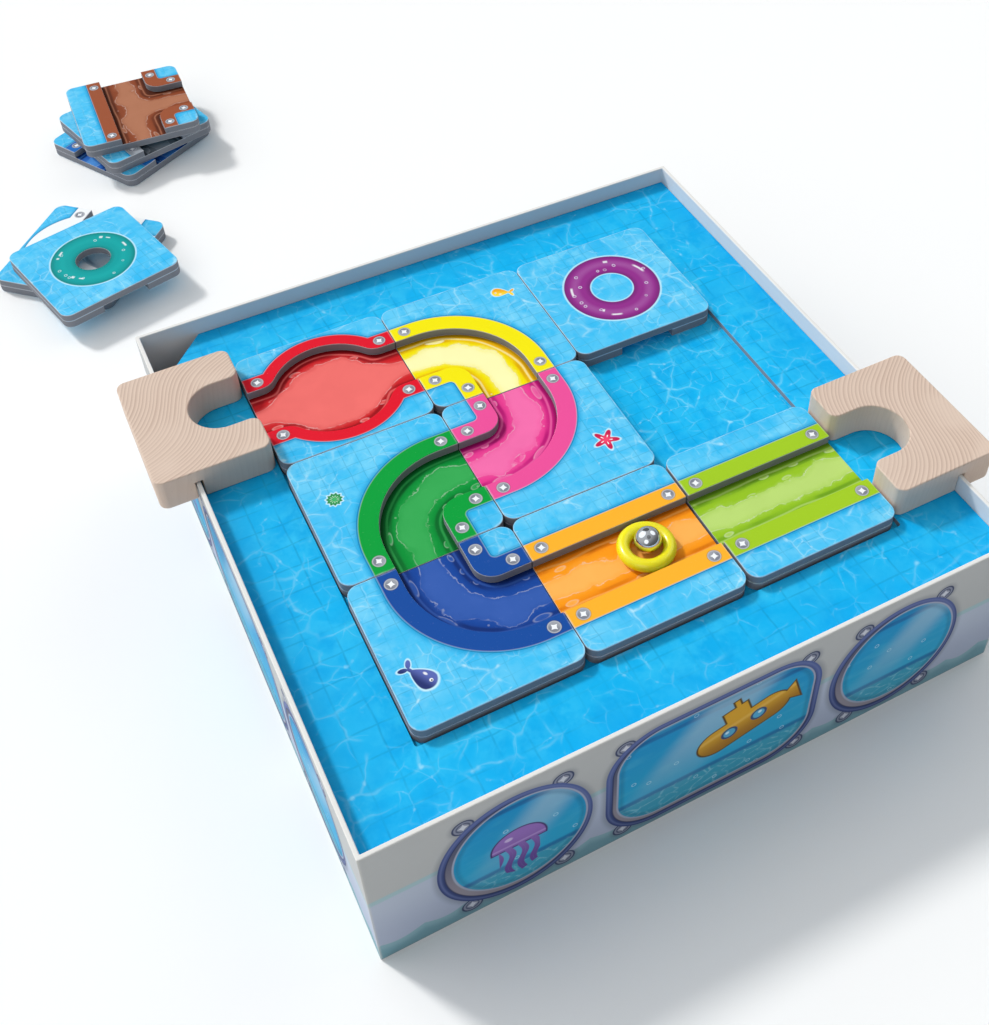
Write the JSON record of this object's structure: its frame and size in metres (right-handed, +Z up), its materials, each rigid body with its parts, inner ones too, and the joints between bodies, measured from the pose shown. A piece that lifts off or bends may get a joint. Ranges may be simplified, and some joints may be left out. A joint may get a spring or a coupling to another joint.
{
  "type": "tilt maze game",
  "caption": "Square open box with a printed insert holding square channel tiles, a ball in a plastic ring, two U-shaped wooden blocks on the walls and piles of spare tiles.",
  "frame": {"origin": "centre of the underside of the square box, on the table", "axes": "+Z up out of the box, +Y towards the back of the box and the piles of spare tiles, +X to the right, along the tile rows"},
  "size_m": [0.279, 0.4799, 0.0688],
  "materials": {
    "printed_box": "printed paper over grey board, satin",
    "grey_board": "bare grey board",
    "pool_print": "printed water, satin",
    "red_board": "printed board with a bare grey cut edge",
    "yellow_board": "printed board with a bare grey cut edge",
    "water_board": "printed board with a bare grey cut edge",
    "green_board": "printed board with a bare grey cut edge",
    "pink_board": "printed board with a bare grey cut edge",
    "blue_board": "printed board with a bare grey cut edge",
    "orange_board": "printed board with a bare grey cut edge",
    "lime_board": "printed board with a bare grey cut edge",
    "navy_board": "printed board with a bare grey cut edge",
    "slate_board": "printed board with a bare grey cut edge",
    "brown_board": "printed board with a bare grey cut edge",
    "white_board": "printed board with a bare grey cut edge",
    "teal_board": "printed board with a bare grey cut edge",
    "beech": "sanded, clear",
    "ring_plastic": "moulded, glossy",
    "ball_steel": "polished steel"
  },
  "bodies": {
    "box": {"box_tray": "printed_box", "insert_riser": "grey_board", "recess_floor": "pool_print", "pool_board": "pool_print"},
    "red_pond_tile": {"red_pond_base": "red_board", "red_pond_rail_back": "red_board", "red_pond_rail_front": "red_board"},
    "yellow_bend_tile": {"yellow_bend_base": "yellow_board", "yellow_bend_rail_outer": "yellow_board", "yellow_bend_rail_corner": "yellow_board"},
    "purple_swim_tile": {"purple_swim_face": "water_board", "purple_swim_rail_left": "water_board", "purple_swim_rail_right": "water_board"},
    "green_bend_tile": {"green_bend_base": "green_board", "green_bend_rail_outer": "green_board", "green_bend_rail_corner": "green_board"},
    "pink_bend_tile": {"pink_bend_base": "pink_board", "pink_bend_rail_outer": "pink_board", "pink_bend_rail_corner": "pink_board"},
    "blue_bend_tile": {"blue_bend_base": "blue_board", "blue_bend_rail_outer": "blue_board", "blue_bend_rail_corner": "blue_board"},
    "orange_straight_tile": {"orange_straight_base": "orange_board", "orange_straight_rail_back": "orange_board", "orange_straight_rail_front": "orange_board"},
    "lime_straight_tile": {"lime_straight_base": "lime_board", "lime_straight_rail_back": "lime_board", "lime_straight_rail_front": "lime_board"},
    "navy_bend_tile": {"navy_bend_base": "navy_board", "navy_bend_rail_outer": "navy_board", "navy_bend_rail_corner": "navy_board"},
    "grey_straight_tile": {"grey_straight_base": "slate_board", "grey_straight_rail_left": "slate_board", "grey_straight_rail_right": "slate_board"},
    "brown_junction_tile": {"brown_junction_base": "brown_board", "brown_junction_rail_left": "brown_board", "brown_junction_corner_back": "brown_board", "brown_junction_corner_front": "brown_board"},
    "white_bend_tile": {"white_bend_base": "white_board", "white_bend_rail_outer": "white_board", "white_bend_rail_corner": "white_board"},
    "teal_swim_tile": {"teal_swim_face": "teal_board", "teal_swim_rail_left": "teal_board", "teal_swim_rail_right": "teal_board"},
    "start_block": {"start_block": "beech"},
    "finish_block": {"finish_block": "beech"},
    "swim_ring": {"swim_ring": "ring_plastic"},
    "steel_ball": {"steel_ball": "ball_steel"}
  },
  "joints": [
    {"name": "red_pond_tile_lift", "type": "slide", "parent": "box", "child": "red_pond_tile", "axis": [0, 0, 1], "range_m": [0, 0.03]},
    {"name": "yellow_bend_tile_lift", "type": "slide", "parent": "box", "child": "yellow_bend_tile", "axis": [0, 0, 1], "range_m": [0, 0.03]},
    {"name": "purple_swim_tile_lift", "type": "slide", "parent": "box", "child": "purple_swim_tile", "axis": [0, 0, 1], "range_m": [0, 0.03]},
    {"name": "green_bend_tile_lift", "type": "slide", "parent": "box", "child": "green_bend_tile", "axis": [0, 0, 1], "range_m": [0, 0.03]},
    {"name": "pink_bend_tile_lift", "type": "slide", "parent": "box", "child": "pink_bend_tile", "axis": [0, 0, 1], "range_m": [0, 0.03]},
    {"name": "blue_bend_tile_lift", "type": "slide", "parent": "box", "child": "blue_bend_tile", "axis": [0, 0, 1], "range_m": [0, 0.03]},
    {"name": "orange_straight_tile_lift", "type": "slide", "parent": "box", "child": "orange_straight_tile", "axis": [0, 0, 1], "range_m": [0, 0.03]},
    {"name": "lime_straight_tile_lift", "type": "slide", "parent": "box", "child": "lime_straight_tile", "axis": [0, 0, 1], "range_m": [0, 0.03]},
    {"name": "navy_bend_tile_lift", "type": "slide", "parent": "box", "child": "navy_bend_tile", "axis": [0, 0, 1], "range_m": [0, 0.03]},
    {"name": "grey_straight_tile_lift", "type": "slide", "parent": "navy_bend_tile", "child": "grey_straight_tile", "axis": [0, 0, 1], "range_m": [0, 0.03]},
    {"name": "brown_junction_tile_lift", "type": "slide", "parent": "grey_straight_tile", "child": "brown_junction_tile", "axis": [0, 0, 1], "range_m": [0, 0.03]},
    {"name": "white_bend_tile_lift", "type": "slide", "parent": "box", "child": "white_bend_tile", "axis": [0, 0, 1], "range_m": [0, 0.03]},
    {"name": "teal_swim_tile_lift", "type": "slide", "parent": "white_bend_tile", "child": "teal_swim_tile", "axis": [0, 0, 1], "range_m": [0, 0.03]},
    {"name": "start_block_slide", "type": "slide", "parent": "box", "child": "start_block", "axis": [0, 1, 0], "range_m": [-0.113, 0]},
    {"name": "finish_block_slide", "type": "slide", "parent": "box", "child": "finish_block", "axis": [0, 1, 0], "range_m": [0, 0.113]},
    {"name": "swim_ring_run", "type": "slide", "parent": "orange_straight_tile", "child": "swim_ring", "axis": [1, 0, 0], "range_m": [-0.042, 0.089]},
    {"name": "steel_ball_roll", "type": "hinge", "parent": "swim_ring", "child": "steel_ball", "pos_m": [0.0075, -0.0562, 0.06205], "axis": [0, 1, 0], "continuous": true}
  ]
}
